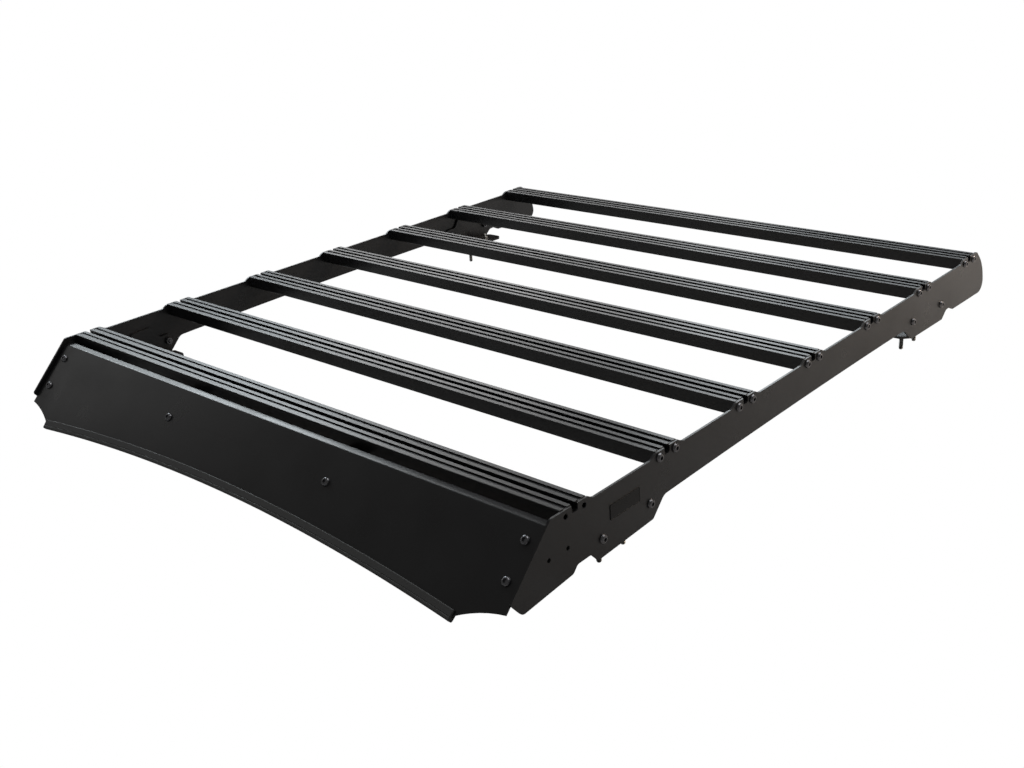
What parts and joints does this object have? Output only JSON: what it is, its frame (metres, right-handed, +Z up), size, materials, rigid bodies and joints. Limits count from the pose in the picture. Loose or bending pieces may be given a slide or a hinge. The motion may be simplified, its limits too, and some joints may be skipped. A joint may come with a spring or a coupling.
{
  "type": "flat platform roof rack",
  "caption": "Low black platform roof rack: slotted aluminium slats between two side plates, a sloped wind deflector with rubber trim, and bracket feet with studs.",
  "frame": {"origin": "under the middle of the rack's bounding box, level with the ends of the front studs", "axes": "+X to the side plate with the badge, -Y to the wind deflector at the front, +Z up; the load deck is level"},
  "size_m": [1.193, 1.4376, 0.1403],
  "materials": {
    "black_powder_coat": "fine textured black powder coat over aluminium",
    "rubber": "black extruded rubber edge trim",
    "zinc_steel": "dull zinc plated steel"
  },
  "bodies": {
    "root": {"side_plate_left": "black_powder_coat", "side_plate_right": "black_powder_coat", "slat_1": "black_powder_coat", "slat_2": "black_powder_coat", "slat_3": "black_powder_coat", "slat_4": "black_powder_coat", "slat_5": "black_powder_coat", "slat_6": "black_powder_coat", "slat_7": "black_powder_coat", "wind_deflector": "black_powder_coat", "deflector_trim": "rubber", "corner_bracket_left": "black_powder_coat", "corner_bracket_right": "black_powder_coat", "deflector_stay_left": "black_powder_coat", "deflector_stay_right": "black_powder_coat", "foot_bracket_front_left": "black_powder_coat", "foot_bracket_front_right": "black_powder_coat", "foot_bracket_rear_left": "black_powder_coat", "foot_bracket_rear_right": "black_powder_coat", "foot_studs_front_left": "zinc_steel", "foot_studs_front_right": "zinc_steel", "foot_studs_rear_left": "zinc_steel", "foot_studs_rear_right": "zinc_steel", "badge_plate": "black_powder_coat"}
  },
  "joints": []
}
